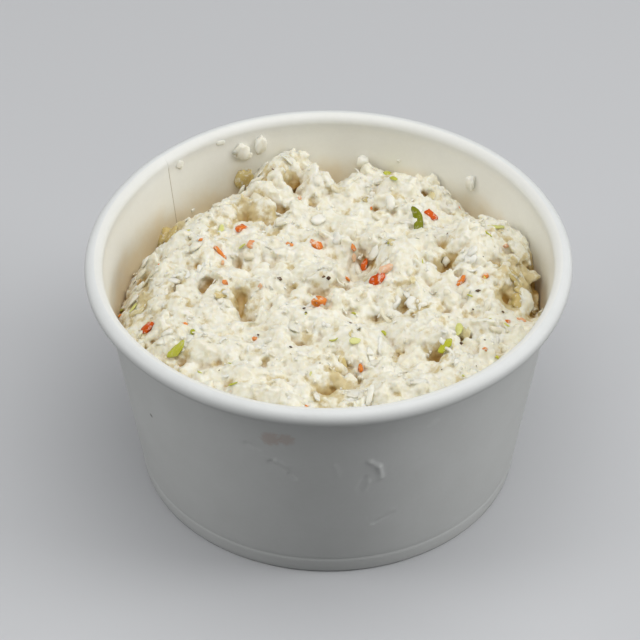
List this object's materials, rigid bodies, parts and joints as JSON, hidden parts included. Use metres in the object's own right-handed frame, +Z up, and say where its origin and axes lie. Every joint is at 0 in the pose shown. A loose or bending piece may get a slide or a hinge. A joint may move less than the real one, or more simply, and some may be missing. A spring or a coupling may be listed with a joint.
{
  "type": "coleslaw in a paper cup",
  "caption": "Finely chopped creamy coleslaw heaped in a round white paper food cup with a rolled rim and a recessed bottom.",
  "frame": {"origin": "centre of the foot ring, on the surface that the cup stands on", "axes": "+Z up along the axis of the cup, -Y towards the front, +X to the right seen from the front"},
  "size_m": [0.098, 0.098, 0.0516],
  "materials": {
    "cup_board": "white coated paperboard, smooth with a low sheen",
    "slaw": "chopped cabbage in a creamy dressing, moist and softly glossy"
  },
  "bodies": {
    "root": {"cup_wall": "cup_board", "cup_bottom": "cup_board", "coleslaw": "slaw"}
  },
  "joints": []
}
